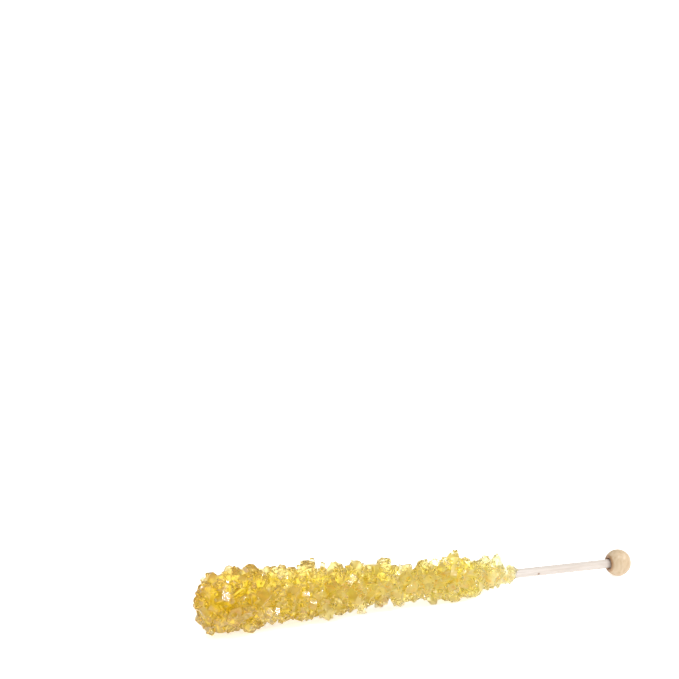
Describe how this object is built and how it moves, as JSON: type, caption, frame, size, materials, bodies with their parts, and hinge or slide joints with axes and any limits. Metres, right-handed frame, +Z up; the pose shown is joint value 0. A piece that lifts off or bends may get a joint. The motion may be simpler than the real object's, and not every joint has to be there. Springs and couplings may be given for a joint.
{
  "type": "rock candy stick",
  "caption": "Rock candy stick: gold sugar crystals fused thickly round one end of a thin wooden stick, with a wooden ball on the other end.",
  "frame": {"origin": "middle of the base of the box round the whole, on the table that the candy lies on", "axes": "+X along the stick from the candy's free end to the ball, which lies about 2 degrees lower; +Z up from the table"},
  "size_m": [0.1648, 0.023, 0.0225],
  "materials": {
    "gold_sugar": "clear golden sugar crystal, glossy on its faces",
    "birch_stick": "bare pale birch, sanded",
    "beech_ball": "bare tan beech, smooth with a soft sheen"
  },
  "bodies": {
    "root": {"rock_candy": "gold_sugar", "stick": "birch_stick", "ball": "beech_ball"}
  },
  "joints": []
}
